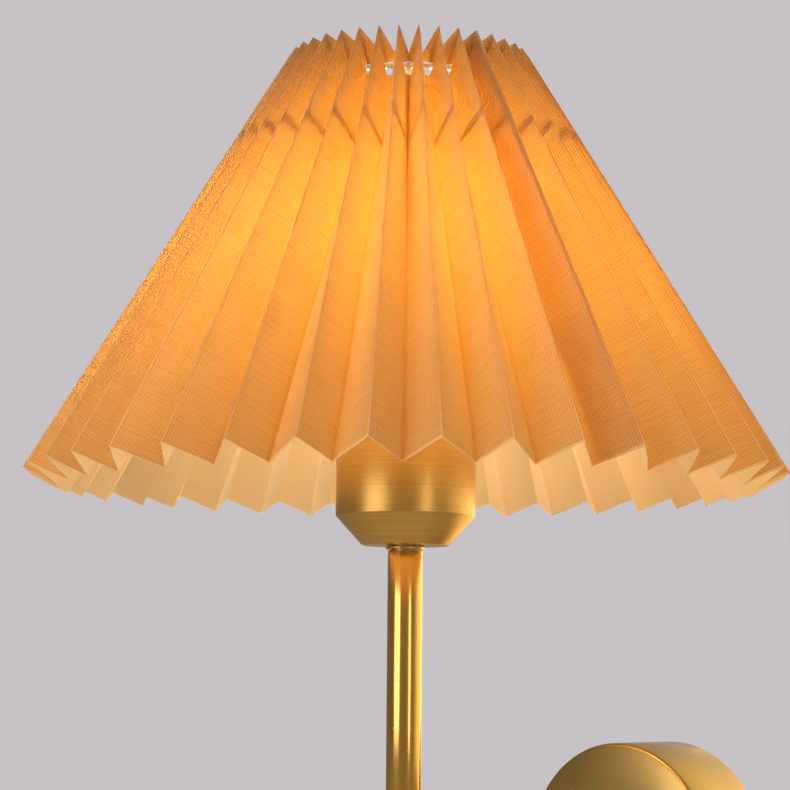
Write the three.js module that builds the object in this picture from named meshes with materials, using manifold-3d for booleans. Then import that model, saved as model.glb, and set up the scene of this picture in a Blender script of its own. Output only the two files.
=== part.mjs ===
// Wall lamp: a pleated cone shade on a brass stem, held by an arm from a round wall plate.
// Millimetres. The origin is the centre of the bracket's back face, on the wall.
// +Y goes into the wall, +Z is up, and the lamp stands out towards -Y.
import * as THREE from 'three';
import { mergeVertices } from 'three/addons/utils/BufferGeometryUtils.js';
import Module from 'manifold-3d';

const wasm = await Module();
wasm.setup();

// ---------- driving dimensions ----------
const gap = 0.3; // clearance between pieces that touch
const wallToStem = 153; // wall to the stem's axis
const rimHeight = 135.5; // arm's axis to the shade's rim

const plate = { radius: 42.5, depth: 36, wall: 1.6, edge: 1.6 };
const bracket = { inset: 3.9, thick: 2, earWide: 14, earThick: 2.5, slotLong: 12, slotWide: 5.2, slotInset: 7 };
const sideScrew = { radius: 2, headRadius: 4, headHigh: 3, tipIn: 3, slotWide: 0.9, slotDeep: 1 };

const tube = { radius: 6, wall: 1 };
const nipple = { wall: 1.4 }; // it fills the tubes' bore
const nut = { across: 15, high: 4 };
const washer = { radius: 10, high: 1 };
const armCollar = { radius: 11, high: 7 };
const hub = { radius: 10, above: 15, below: 14, bore: 4 };
const finial = { radius: 10, high: 8, plugRadius: 3.2, plugHigh: 5 };
const stemCollar = { radius: 6.7, high: 1.2 };

// heights below are above the shade's rim
const cup = { radius: 24, wall: 1.5, floor: 2, low: -24, chamferTop: -14, chamferRadius: 15, top: 14 };
const holder = { radius: 19.5, bore: 14.6, flangeOver: 0.5, flangeHigh: 2.2, neckRadius: 18.5, neckHigh: 9.5 };
const holderCap = { radius: 19.5, wall: 2, high: 13 };
const carrierPlate = { bore: 19.1, radius: 30, high: 1.5 };
const lockRing = { bore: 19.1, radius: 23.5, high: 5, flangeRadius: 26.5, flangeHigh: 1.6 };
const screwShell = { bore: 13.6, wall: 0.6, high: 22 };
const bulb = { radius: 22.5, centre: 47, wall: 1.1, capRadius: 13, capHigh: 20, neckRadius: 13.6 };
const lead = { radius: 0.9, apart: 1.25, barePin: 2.2 };

const shade = {
  pleats: 38,
  rimRadius: 130,
  topRadius: 41.3,
  topHeight: 147.3,
  depth: 16.3, // width of one pleat face, ridge to valley
  valleyDrop: 6.1, // how far a valley's corner hangs below its neighbour ridge's
  sheet: 0.6,
  notchDeep: 9.5,
  notchHigh: 4.2,
  notchFall: 3,
  notchBelowTop: 6.5,
};
const topWire = { wire: 1.0, outset: 6.4 }; // outset from the valleys' line
const lowWire = { height: 102, wire: 1.25 };
const leg = { count: 3, wire: 1.1, footRadius: 28.4 };

// ---------- colours ----------
function finish(colour, roughness, metalness) {
  return new THREE.MeshStandardMaterial({ color: colour, roughness, metalness });
}
const brass = finish('#c99a45', 0.25, 1);
const satinBrass = finish('#bd9a52', 0.4, 1);
const zincSteel = finish('#a9adb0', 0.4, 1);
const whiteWire = finish('#f1efe9', 0.5, 0);
const linen = finish('#d6a866', 0.9, 0);
const bakelite = finish('#26221f', 0.45, 0);
const opalGlass = finish('#fff3d8', 0.2, 0);
const whitePlastic = finish('#ecebe6', 0.5, 0);
const liveBrown = finish('#6a3f22', 0.5, 0);
const neutralBlue = finish('#2f62a8', 0.5, 0);
const earthGreen = finish('#6f9a35', 0.5, 0);

// ---------- helpers ----------
const lamp = new THREE.Group();
const stem = new THREE.Group(); // origin on the stem's axis, at the shade's rim
stem.position.set(0, -wallToStem, rimHeight);
lamp.add(stem);

function put(parent, name, geometry, material) {
  const mesh = new THREE.Mesh(geometry, material);
  mesh.name = name;
  parent.add(mesh);
  return mesh;
}

// Turns a profile of [radius, height] points into a ring or a plug about +Z.
function turned(points, sides = 28) {
  const outline = points.map(([r, z]) => new THREE.Vector2(r, z));
  const geometry = new THREE.LatheGeometry(outline, sides);
  return geometry.rotateX(Math.PI / 2);
}

function ring(bore, radius, low, high, sides = 28) {
  return turned([[bore, low], [radius, low], [radius, high], [bore, high], [bore, low]], sides);
}

function disc(radius, low, high, sides = 28) {
  return turned([[0, low], [radius, low], [radius, high], [0, high]], sides);
}

function block(x0, x1, y0, y1, z0, z1) {
  const geometry = new THREE.BoxGeometry(x1 - x0, y1 - y0, z1 - z0);
  return geometry.translate((x0 + x1) / 2, (y0 + y1) / 2, (z0 + z1) / 2);
}

function prism(points, low, high) {
  const shape = new THREE.Shape(points.map(([x, y]) => new THREE.Vector2(x, y)));
  const geometry = new THREE.ExtrudeGeometry(shape, { depth: high - low, bevelEnabled: false });
  return geometry.translate(0, 0, low);
}

// Lays a piece made about +Z along -Y, out from the wall.
function outward(geometry) {
  return geometry.rotateX(Math.PI / 2);
}

function solid(geometry) {
  const bare = geometry.index ? geometry.toNonIndexed() : geometry.clone();
  bare.deleteAttribute('normal');
  bare.deleteAttribute('uv');
  const merged = mergeVertices(bare, 1e-4);
  const mesh = new wasm.Mesh({
    numProp: 3,
    vertProperties: new Float32Array(merged.attributes.position.array),
    triVerts: new Uint32Array(merged.index.array),
  });
  return new wasm.Manifold(mesh);
}

function surface(manifold) {
  const mesh = manifold.getMesh();
  const geometry = new THREE.BufferGeometry();
  geometry.setAttribute('position', new THREE.BufferAttribute(mesh.vertProperties, 3));
  geometry.setIndex(new THREE.BufferAttribute(mesh.triVerts, 1));
  geometry.computeVertexNormals();
  return geometry;
}

function cutFrom(geometry, ...tools) {
  return surface(tools.reduce((body, tool) => body.subtract(solid(tool)), solid(geometry)));
}

function joined(geometry, ...more) {
  return surface(more.reduce((body, piece) => body.add(solid(piece)), solid(geometry)));
}

function hexagon(across) {
  const reach = across / 2 / Math.cos(Math.PI / 6);
  return Array.from({ length: 6 }, (_, i) => {
    const turn = (i * Math.PI) / 3;
    return [reach * Math.cos(turn), reach * Math.sin(turn)];
  });
}

// A round wire or lead along a smooth line through the points.
function wire(points, radius, sides, steps, tension = 0.5) {
  const section = new THREE.Shape(
    Array.from({ length: sides }, (_, i) => {
      const turn = (i * 2 * Math.PI) / sides;
      return new THREE.Vector2(radius * Math.cos(turn), radius * Math.sin(turn));
    }),
  );
  const path = new THREE.CatmullRomCurve3(points, false, 'catmullrom', tension);
  return new THREE.ExtrudeGeometry(section, { extrudePath: path, steps, bevelEnabled: false });
}

function torus(radius, thick, height, sides = 57, around = 6) {
  return new THREE.TorusGeometry(radius, thick, around, sides).translate(0, 0, height);
}

// ---------- wall bracket, cover and their screws ----------
const tubeBore = tube.radius - tube.wall;
const coverFront = -plate.depth;
const earAxis = -plate.depth * 0.5; // the side screws enter half way along the cover
const coverInside = plate.radius - plate.wall;
const bracketRadius = coverInside - bracket.inset;
const earOutside = coverInside - 1;

function makeBracket() {
  const base = outward(disc(bracketRadius, 0, bracket.thick));
  const ears = [-1, 1].map((side) => {
    const x0 = side * earOutside;
    const x1 = side * (earOutside - bracket.earThick);
    const low = Math.min(x0, x1);
    const high = Math.max(x0, x1);
    const half = bracket.earWide / 2;
    const ear = block(low, high, earAxis - half, -bracket.thick / 2, -half, half);
    const foot = side * (bracketRadius - bracket.earThick * 2);
    const flange = block(Math.min(x0, foot), Math.max(x0, foot), -bracket.thick, 0, -half, half);
    return joined(ear, flange);
  });
  const plain = joined(base, ...ears);
  const screwHoles = disc(sideScrew.radius + gap, -plate.radius, plate.radius, 24).rotateY(Math.PI / 2);
  screwHoles.translate(0, earAxis, 0);
  const cableHole = outward(disc(7, -1, bracket.thick + 1, 32)).translate(0, 0, 20);
  const slots = [-1, 1].map((side) => {
    const middle = side * (bracketRadius - bracket.slotInset - bracket.slotLong / 2);
    const reach = bracket.slotLong / 2;
    const half = bracket.slotWide / 2;
    return block(middle - reach, middle + reach, -bracket.thick - 1, 1, -half, half);
  });
  const earthHole = outward(disc(earthScrew.radius + gap, -1, bracket.thick + 1, 24));
  earthHole.translate(earthScrew.x, 0, earthScrew.z);
  return cutFrom(plain, screwHoles, cableHole, ...slots, earthHole);
}

const earthScrew = { radius: 1.8, headRadius: 3.4, headHigh: 2, x: 14, z: -24 };
const coverBack = -gap;
const nippleRadius = tubeBore - gap;
const nippleBore = nippleRadius - nipple.wall;
const armBore = nippleRadius + gap;

function makeCover() {
  const outer = plate.radius;
  const skin = plate.wall;
  const front = plate.depth;
  const bevel = plate.edge;
  const shell = turned(
    [
      [armBore, front - skin],
      [outer - skin - 0.4, front - skin],
      [outer - skin, front - skin - 0.4],
      [outer - skin, -coverBack],
      [outer, -coverBack],
      [outer, front - bevel],
      [outer - bevel, front],
      [armBore, front],
      [armBore, front - skin],
    ],
    48,
  );
  const holes = disc(sideScrew.radius + gap, -plate.radius - 5, plate.radius + 5, 24).rotateY(Math.PI / 2);
  holes.translate(0, earAxis, 0);
  return cutFrom(outward(shell), holes);
}

function makeSideScrew(side) {
  const tip = earOutside - bracket.earThick - sideScrew.tipIn;
  const seat = plate.radius + gap;
  const top = seat + sideScrew.headHigh;
  const body = turned(
    [[0, tip], [sideScrew.radius - 0.5, tip], [sideScrew.radius, tip + 0.5], [sideScrew.radius, seat],
      [sideScrew.headRadius, seat], [sideScrew.headRadius, top - 0.5], [sideScrew.headRadius - 0.5, top], [0, top]],
    32,
  );
  const half = sideScrew.slotWide / 2;
  const slot = block(-half, half, -10, 10, top - sideScrew.slotDeep, top + 1);
  const screw = cutFrom(body, slot);
  screw.rotateY((side * Math.PI) / 2);
  return screw.translate(0, earAxis, 0);
}

put(lamp, 'wall_bracket', makeBracket(), zincSteel);
put(lamp, 'wall_cover', makeCover(), satinBrass);
put(lamp, 'cover_screw_right', makeSideScrew(1), brass);
put(lamp, 'cover_screw_left', makeSideScrew(-1), brass);

// ---------- mains terminal block and earth screw ----------
const terminal = { wide: 27, high: 14, deep: 12, x: -6, z: -17.2, poleStep: 9, bore: 1.9, screwRadius: 1.7 };
const terminalBack = -bracket.thick - gap;
const leadPlane = terminalBack - terminal.deep * 0.4; // the leads enter in this plane

function makeTerminalBlock() {
  const half = terminal.wide / 2;
  const top = terminal.z + terminal.high / 2;
  const low = terminal.z - terminal.high / 2;
  const body = block(-half, half, terminalBack - terminal.deep, terminalBack, low, top);
  body.translate(terminal.x, 0, 0);
  const tools = [];
  for (const pole of [-1, 0, 1]) {
    const x = terminal.x + pole * terminal.poleStep;
    const entry = disc(terminal.bore, low - 1, top + 1, 16).translate(x, leadPlane, 0);
    const screw = outward(disc(terminal.screwRadius + gap, -leadPlane, -leadPlane + 20, 16));
    tools.push(entry, screw.translate(x, 0, terminal.z));
  }
  return cutFrom(body, ...tools);
}
put(lamp, 'terminal_block', makeTerminalBlock(), whitePlastic);
['live', 'neutral', 'earth'].forEach((name, i) => {
  const x = terminal.x + (i - 1) * terminal.poleStep;
  const start = lead.radius + gap - leadPlane;
  const end = terminal.deep - terminalBack - 0.5;
  const body = disc(terminal.screwRadius, start, end, 16);
  const slot = block(-0.4, 0.4, -5, 5, end - 0.8, end + 1);
  const screw = outward(cutFrom(body, slot)).translate(x, 0, terminal.z);
  put(lamp, `terminal_screw_${name}`, screw, brass);
});

function makeEarthScrew() {
  const seat = bracket.thick + gap + 1 + gap;
  const top = seat + earthScrew.headHigh;
  const body = turned(
    [[0, 0.4], [earthScrew.radius, 0.4], [earthScrew.radius, seat],
      [earthScrew.headRadius, seat], [earthScrew.headRadius, top], [0, top]],
    24,
  );
  const slot = block(-0.4, 0.4, -6, 6, top - 0.8, top + 1);
  return outward(cutFrom(body, slot)).translate(earthScrew.x, 0, earthScrew.z);
}
function makeEarthTag() {
  const eye = outward(ring(earthScrew.radius + gap, 3.6, bracket.thick + gap, bracket.thick + gap + 1, 24));
  const tail = block(-1.6, 1.6, -bracket.thick - gap - 1, -bracket.thick - gap, 2.8, 10);
  return joined(eye, tail).translate(earthScrew.x, 0, earthScrew.z);
}
put(lamp, 'earth_screw', makeEarthScrew(), brass);
put(lamp, 'earth_tag', makeEarthTag(), zincSteel);

// ---------- arm from the cover to the hub ----------
const collarBack = plate.depth + gap;
const collarFront = collarBack + armCollar.high;
const hubBack = wallToStem - hub.radius - gap;
const armSocket = 5; // how far a tube end sits in its fitting

put(
  lamp,
  'arm_collar',
  outward(
    turned([
      [armBore, collarBack],
      [armCollar.radius, collarBack],
      [armCollar.radius, collarBack + 3],
      [armCollar.radius - 2.5, collarFront],
      [tube.radius + gap, collarFront],
      [tube.radius + gap, collarFront - armSocket],
      [armBore, collarFront - armSocket],
      [armBore, collarBack],
    ]),
  ),
  brass,
);
const armStart = collarFront - armSocket + gap;
const armEnd = hubBack + armSocket;
put(lamp, 'arm_tube', outward(ring(tubeBore, tube.radius, armStart, armEnd)), brass);

const washerFront = plate.depth - plate.wall - gap;
put(lamp, 'arm_washer', outward(ring(armBore, washer.radius, washerFront - washer.high, washerFront)), zincSteel);
const nutFront = washerFront - washer.high - gap;
function hexNut(low, high) {
  return cutFrom(prism(hexagon(nut.across), low, high), disc(armBore, low - 1, high + 1, 32));
}
put(lamp, 'arm_nut', outward(hexNut(nutFront - nut.high, nutFront)), brass);
const nippleBack = nutFront - nut.high - 2;
put(lamp, 'arm_nipple', outward(ring(nippleBore, nippleRadius, nippleBack, armStart + 12, 32)), zincSteel);

// ---------- hub at the arm's end ----------
const hubTop = hub.above;
const stemLow = hubTop - armSocket + gap;
function makeHub() {
  const body = turned([
    [0, -hub.below],
    [hub.radius - 1, -hub.below],
    [hub.radius, -hub.below + 1],
    [hub.radius, hubTop - 1],
    [hub.radius - 1, hubTop],
    [0, hubTop],
  ], 32);
  const stemSeat = disc(tube.radius + gap, hubTop - armSocket, hubTop + 5);
  const way = disc(hub.bore, -hub.below - 1, hubTop, 32);
  const side = disc(hub.bore, 0, hub.radius * 2, 32).rotateX(-Math.PI / 2);
  const seatDepth = hub.radius - armSocket;
  const seat = disc(tube.radius + gap, seatDepth, hub.radius * 2).rotateX(-Math.PI / 2);
  return cutFrom(body, stemSeat, way, side, seat);
}
put(lamp, 'arm_hub', makeHub().translate(0, -wallToStem, 0), brass);

function makeFinial() {
  const top = -hub.below - gap;
  const points = [[0, top + finial.plugHigh], [finial.plugRadius, top + finial.plugHigh], [finial.plugRadius, top]];
  points.push([finial.radius - 1, top]);
  const steps = 5;
  for (let i = 0; i <= steps; i += 1) {
    const turn = (i / steps) * (Math.PI / 2);
    points.push([finial.radius * Math.cos(turn), top - 1.2 - (finial.high - 1.2) * Math.sin(turn)]);
  }
  points[points.length - 1][0] = 0;
  return turned(points.reverse(), 32);
}
put(lamp, 'hub_finial', makeFinial().translate(0, -wallToStem, 0), brass);

// ---------- stem ----------
const stemTop = rimHeight + cup.low - stemCollar.high - gap * 2;
put(
  lamp,
  'stem_tube',
  ring(tubeBore, tube.radius, stemLow, stemTop).translate(0, -wallToStem, 0),
  brass,
);
const collarTop = cup.low - gap;
put(stem, 'stem_collar', ring(armBore, stemCollar.radius, collarTop - stemCollar.high, collarTop), brass);

// ---------- cup, holder and its fastening ----------
const cupInside = cup.radius - cup.wall;
const cupFloor = cup.low + cup.floor;
put(
  stem,
  'socket_cup',
  turned(
    [
      [armBore, cup.low],
      [cup.chamferRadius, cup.low],
      [cup.radius, cup.chamferTop],
      [cup.radius, cup.top - 0.5],
      [cup.radius - 0.5, cup.top],
      [cupInside, cup.top],
      [cupInside, cup.chamferTop + 0.6],
      [cup.chamferRadius - 0.8, cupFloor],
      [armBore, cupFloor],
      [armBore, cup.low],
    ],
    36,
  ),
  satinBrass,
);
const cupNutLow = cupFloor + gap;
put(stem, 'cup_nut', hexNut(cupNutLow, cupNutLow + nut.high), brass);
const holderNippleTop = cupNutLow + nut.high + 6;
const holderNippleLow = collarTop - stemCollar.high - 12;
put(stem, 'holder_nipple', ring(nippleBore, nippleRadius, holderNippleLow, holderNippleTop, 32), zincSteel);

const capLow = cupNutLow + nut.high + gap;
const capTop = capLow + holderCap.high;
put(
  stem,
  'holder_cap',
  turned([
    [armBore, capLow],
    [holderCap.radius - 5, capLow],
    [holderCap.radius, capLow + 5],
    [holderCap.radius, capTop],
    [holderCap.radius - holderCap.wall, capTop],
    [holderCap.radius - holderCap.wall, capLow + 6],
    [holderCap.radius - 5, capLow + holderCap.wall],
    [armBore, capLow + holderCap.wall],
    [armBore, capLow],
  ]),
  bakelite,
);

const bodyLow = capTop + gap;
const flangeLow = cup.top + gap;
const flangeTop = flangeLow + holder.flangeHigh;
const flangeRadius = cupInside + holder.flangeOver;
const neckTop = flangeTop + holder.neckHigh;
const holderFloor = bodyLow + 3;
put(
  stem,
  'lampholder_body',
  cutFrom(
    turned([
      [0, bodyLow],
      [holder.radius, bodyLow],
      [holder.radius, flangeLow],
      [flangeRadius, flangeLow],
      [flangeRadius, flangeTop],
      [holder.neckRadius, flangeTop],
      [holder.neckRadius, neckTop],
      [holder.bore, neckTop],
      [holder.bore, holderFloor],
      [0, holderFloor],
    ]),
    disc(2, bodyLow - 1, holderFloor + 1, 16).translate(7, 0, 0),
    disc(2, bodyLow - 1, holderFloor + 1, 16).translate(-7, 0, 0),
  ),
  bakelite,
);
const shellLow = holderFloor + gap;
put(
  stem,
  'screw_shell',
  ring(screwShell.bore, screwShell.bore + screwShell.wall, shellLow, shellLow + screwShell.high),
  brass,
);
const capBase = shellLow + 3.2;
put(stem, 'centre_contact', block(-2.5, 2.5, -6, 6, shellLow, shellLow + 0.8), brass);

// ---------- shade carrier: plate, lock ring, legs and two wire rings ----------
const plateLow = flangeTop + gap;
const plateTop = plateLow + carrierPlate.high;
put(stem, 'carrier_plate', ring(carrierPlate.bore, carrierPlate.radius, plateLow, plateTop), whiteWire);
const lockLow = plateTop + gap;
put(
  stem,
  'lock_ring',
  turned([
    [lockRing.bore, lockLow],
    [lockRing.flangeRadius, lockLow],
    [lockRing.flangeRadius, lockLow + lockRing.flangeHigh],
    [lockRing.radius, lockLow + lockRing.flangeHigh + 0.4],
    [lockRing.radius, lockLow + lockRing.high],
    [lockRing.bore, lockLow + lockRing.high],
    [lockRing.bore, lockLow],
  ], 32),
  bakelite,
);

// ---------- pleated shade ----------
// A ridge runs from the rim to the top. Each valley is the mirror line between two ridges.
const lean = Math.atan2(shade.rimRadius - shade.topRadius, shade.topHeight);
const halfStep = Math.PI / shade.pleats;
const shadeTurn = THREE.MathUtils.degToRad(-47.2); // a valley faces the room's right-hand front

// The strip is cut square, so ridge and valley are equally long and a valley's corner lies
// one pleat face away, inwards and a little lower.
function valleyEnd(ridgeRadius, ridgeZ) {
  const drop = shade.valleyDrop;
  const flat = Math.sqrt(shade.depth * shade.depth - drop * drop);
  const side = ridgeRadius * Math.sin(halfStep);
  const along = Math.sqrt(flat * flat - side * side);
  return { radius: ridgeRadius * Math.cos(halfStep) - along, z: ridgeZ - drop };
}
const valleyLow = valleyEnd(shade.rimRadius, 0);
const valleyTop = valleyEnd(shade.topRadius, shade.topHeight);

function valleyAt(z) {
  const share = (z - valleyLow.z) / (valleyTop.z - valleyLow.z);
  return valleyLow.radius + share * (valleyTop.radius - valleyLow.radius);
}

function makeShade() {
  const positions = [];
  const faces = [];
  const count = shade.pleats * 2;
  const skew = shade.sheet / 2 / Math.cos(lean);
  for (let i = 0; i < count; i += 1) {
    const ridge = i % 2 === 1;
    const turn = (i * Math.PI) / shade.pleats + shadeTurn;
    const low = ridge ? { radius: shade.rimRadius, z: 0 } : valleyLow;
    const high = ridge ? { radius: shade.topRadius, z: shade.topHeight } : valleyTop;
    for (const end of [low, high]) {
      const fold = foldSpread(end.radius) * skew;
      for (const side of [1, -1]) {
        const r = end.radius + side * fold;
        positions.push(r * Math.cos(turn), r * Math.sin(turn), end.z);
      }
    }
  }
  const at = (i, k) => (i % count) * 4 + k; // k: 0 low outside, 1 low inside, 2 top outside, 3 top inside
  for (let i = 0; i < count; i += 1) {
    const quads = [
      [at(i, 0), at(i + 1, 0), at(i + 1, 2), at(i, 2)],
      [at(i, 1), at(i, 3), at(i + 1, 3), at(i + 1, 1)],
      [at(i, 2), at(i + 1, 2), at(i + 1, 3), at(i, 3)],
      [at(i, 0), at(i, 1), at(i + 1, 1), at(i + 1, 0)],
    ];
    for (const [a, b, c, d] of quads) {
      faces.push(a, b, c, a, c, d);
    }
  }
  const geometry = new THREE.BufferGeometry();
  geometry.setAttribute('position', new THREE.Float32BufferAttribute(positions, 3));
  geometry.setIndex(faces);
  return cutFrom(geometry, ...notches());
}

// How far a fold's two surfaces part along the radius, for a sheet one unit thick.
const foldLimit = 3.2; // a fold is pressed flat once its surfaces would part further than this
function foldSpread(radius) {
  const near = radius * Math.sin(halfStep);
  const slope = near / shade.depth;
  return Math.min(1 / slope, foldLimit);
}

function notchPlace() {
  const length = Math.hypot(valleyLow.radius - valleyTop.radius, valleyTop.z - valleyLow.z);
  const share = 1 - shade.notchBelowTop / length;
  const z = valleyLow.z + share * (valleyTop.z - valleyLow.z);
  return { radius: valleyAt(z), z };
}

// Each notch is a slot cut outwards from its valley through the two faces beside it.
const notchSlope = Math.asin(shade.notchFall / shade.notchDeep);
function notches() {
  const place = notchPlace();
  const tools = [];
  for (let i = 0; i < shade.pleats; i += 1) {
    const hole = block(-3, shade.notchDeep, -3.5, 3.5, -shade.notchHigh / 2, shade.notchHigh / 2);
    hole.rotateY(notchSlope); // the slot falls outwards
    hole.translate(place.radius, 0, place.z);
    tools.push(hole.rotateZ((i * 2 * Math.PI) / shade.pleats + shadeTurn));
  }
  return tools;
}
put(stem, 'pleated_shade', makeShade(), linen);

// The shade hangs by the tops of its notches on the upper wire ring.
const notch = notchPlace();
const ringRadius = notch.radius + topWire.outset;
const notchRoof = shade.notchHigh / 2 / Math.cos(notchSlope) - topWire.outset * Math.tan(notchSlope);
const ringHeight = notch.z + notchRoof - (topWire.wire + gap) / Math.cos(notchSlope);
put(stem, 'top_wire_ring', torus(ringRadius, topWire.wire, ringHeight), whiteWire);
const foldInside = 2.6; // from a valley's middle line in to the inner face of its fold
const lowRingRadius = valleyAt(lowWire.height) - foldInside - lowWire.wire;
put(stem, 'low_wire_ring', torus(lowRingRadius, lowWire.wire, lowWire.height), whiteWire);

// Each leg climbs from the carrier plate, inside both wire rings, along a valley of the
// shade, and turns out through that valley's notch to meet the upper ring.
for (let i = 0; i < leg.count; i += 1) {
  const inLow = lowRingRadius - lowWire.wire - leg.wire - gap;
  const inTop = notch.radius - foldInside - leg.wire - gap;
  const ringEdge = ringRadius - topWire.wire - gap;
  const foot = plateTop + leg.wire + gap;
  const turnLow = notch.z - shade.notchHigh * 1.2;
  const spot = (r, z) => new THREE.Vector3(r, 0, z);
  const rise = (share) => {
    const z = foot + share * (lowWire.height - foot);
    return spot(leg.footRadius + share * (inLow - leg.footRadius), z);
  };
  const line = [
    rise(0),
    rise(0.3),
    rise(0.7),
    rise(1),
    spot((inLow + inTop) / 2, (lowWire.height + turnLow) / 2),
    spot(inTop, turnLow),
    spot(inTop, notch.z - 1),
    spot(notch.radius - foldInside / 2, notch.z + 0.7),
    spot(ringEdge, ringHeight),
  ];
  const valley = Math.round((i * shade.pleats) / leg.count);
  const piece = wire(line, leg.wire, 6, 30);
  piece.rotateZ((valley * 2 * Math.PI) / shade.pleats + shadeTurn);
  put(stem, `carrier_leg_${i + 1}`, piece, whiteWire);
}

// ---------- bulb ----------
const capEnd = capBase + bulb.capHigh + 2.6;
const glassLow = capEnd + gap;

function makeGlass() {
  const shell = (radius, neck, low) => {
    const start = Math.asin(neck / radius);
    const points = [[neck, low]];
    const steps = 6;
    for (let i = 0; i <= steps; i += 1) {
      const turn = start + (i / steps) * (Math.PI - start);
      points.push([radius * Math.sin(turn), bulb.centre - radius * Math.cos(turn)]);
    }
    points[points.length - 1][0] = 0;
    return points;
  };
  const outer = shell(bulb.radius, bulb.neckRadius, glassLow);
  const inner = shell(bulb.radius - bulb.wall, bulb.neckRadius - bulb.wall, glassLow);
  return turned([...outer, ...inner.reverse(), outer[0]], 24);
}
put(stem, 'bulb_glass', makeGlass(), opalGlass);

const threadPitch = 5;
function makeBulbCap() {
  const crest = bulb.capRadius;
  const root = crest - 0.9;
  const points = [[0, capBase], [8, capBase], [root, capBase + 2.4]];
  const turns = 3;
  for (let i = 0; i < turns; i += 1) {
    const z = capBase + 3 + i * threadPitch;
    points.push([root, z], [crest, z + threadPitch * 0.35], [crest, z + threadPitch * 0.6]);
  }
  points.push([crest, capEnd], [0, capEnd]);
  return turned(points, 28);
}
put(stem, 'bulb_cap', makeBulbCap(), zincSteel);
put(stem, 'bulb_insulator', ring(3.6, 7.2, capBase - gap - 1.2, capBase - gap, 32), bakelite);
put(stem, 'bulb_tip', disc(3, capBase - gap - 1.8, capBase - gap, 24), zincSteel);
put(stem, 'bulb_light_board', disc(10.5, glassLow, glassLow + 1.6, 32), whitePlastic);

// ---------- leads, terminal block to holder ----------
const hubZ = 0;
const bend = 6; // the leads turn from the arm into the stem on this radius

function leadRoute(i, start, end) {
  const turn = (i * 2 * Math.PI) / 3 + Math.PI / 2;
  const dx = lead.apart * Math.cos(turn);
  const dn = lead.apart * Math.sin(turn);
  const points = [...start];
  const insideCover = -nippleBack;
  for (const y of [insideCover + 1, -60, -100, -wallToStem + bend + 14, -wallToStem + bend]) {
    points.push(new THREE.Vector3(dx, y, hubZ + dn));
  }
  for (const share of [0.25, 0.5, 0.75]) {
    const a = (share * Math.PI) / 2;
    const r = bend - dn;
    points.push(new THREE.Vector3(dx, -wallToStem + bend - r * Math.sin(a), bend - r * Math.cos(a)));
  }
  const y = -wallToStem + dn;
  for (const z of [bend, bend + 14, 50, 85, rimHeight + holderNippleTop - 1]) {
    points.push(new THREE.Vector3(dx, y, z));
  }
  points.push(...end);
  return points;
}

['live', 'neutral'].forEach((name, i) => {
  const x = terminal.x + (i - 1) * terminal.poleStep;
  const top = terminal.z + terminal.high / 2;
  const start = [
    new THREE.Vector3(x, leadPlane, top - 3),
    new THREE.Vector3(x, leadPlane, top + 3),
    new THREE.Vector3(x * 0.75, leadPlane - 8, top + 9),
  ];
  const hole = i === 0 ? 7 : -7;
  const end = [
    new THREE.Vector3(hole * 0.6, -wallToStem, rimHeight + bodyLow - 3.4),
    new THREE.Vector3(hole, -wallToStem, rimHeight + bodyLow),
    new THREE.Vector3(hole, -wallToStem, rimHeight + holderFloor - 0.6),
  ];
  const route = leadRoute(i * 1.5, start, end);
  put(lamp, `${name}_lead`, wire(route, lead.radius, 6, 48), i === 0 ? liveBrown : neutralBlue);
});

const earthX = terminal.x + terminal.poleStep;
const earthTop = terminal.z - terminal.high / 2;
const tagTip = new THREE.Vector3(earthScrew.x, -bracket.thick - gap - 0.5, earthScrew.z + 10 + gap);
put(
  lamp,
  'earth_lead',
  wire(
    [
      new THREE.Vector3(earthX, leadPlane, earthTop + terminal.high - 3),
      new THREE.Vector3(earthX, leadPlane, earthTop + terminal.high + 3),
      new THREE.Vector3(earthX + 6, leadPlane - 1, earthTop + terminal.high + 7),
      new THREE.Vector3(tagTip.x - 1, leadPlane, tagTip.z + 10),
      new THREE.Vector3(tagTip.x, tagTip.y - 1, tagTip.z + 3),
      new THREE.Vector3(tagTip.x, tagTip.y - 1, tagTip.z + lead.radius),
    ],
    lead.radius,
    6,
    24,
  ),
  earthGreen,
);

export default lamp;
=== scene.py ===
"""Wall lamp with a pleated shade: the fine pieces, materials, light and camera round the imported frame."""

import math
import random

import bpy
from mathutils import Matrix, Vector


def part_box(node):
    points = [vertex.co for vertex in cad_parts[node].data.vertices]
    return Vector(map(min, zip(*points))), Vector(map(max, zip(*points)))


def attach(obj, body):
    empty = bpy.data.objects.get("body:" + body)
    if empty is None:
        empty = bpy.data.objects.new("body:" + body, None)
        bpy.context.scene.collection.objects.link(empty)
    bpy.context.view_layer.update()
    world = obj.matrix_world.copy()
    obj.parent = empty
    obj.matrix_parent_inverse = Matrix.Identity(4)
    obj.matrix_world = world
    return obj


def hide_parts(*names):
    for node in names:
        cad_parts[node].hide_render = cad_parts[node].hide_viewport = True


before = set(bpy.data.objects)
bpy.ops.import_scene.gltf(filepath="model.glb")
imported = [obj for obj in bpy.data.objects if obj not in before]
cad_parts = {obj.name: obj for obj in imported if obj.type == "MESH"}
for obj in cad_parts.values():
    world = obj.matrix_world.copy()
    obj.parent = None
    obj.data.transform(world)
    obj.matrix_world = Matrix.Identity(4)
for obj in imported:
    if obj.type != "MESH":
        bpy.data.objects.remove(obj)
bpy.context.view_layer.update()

bl_info = {
    "name": "Pleated wall lamp",
    "version": (1, 0, 0),
    "blender": (4, 5, 0),
    "location": "View3D > Sidebar > Wall Lamp",
    "description": "Builds a brass wall lamp with a pleated linen shade round its frame",
    "category": "Add Mesh",
}

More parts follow.
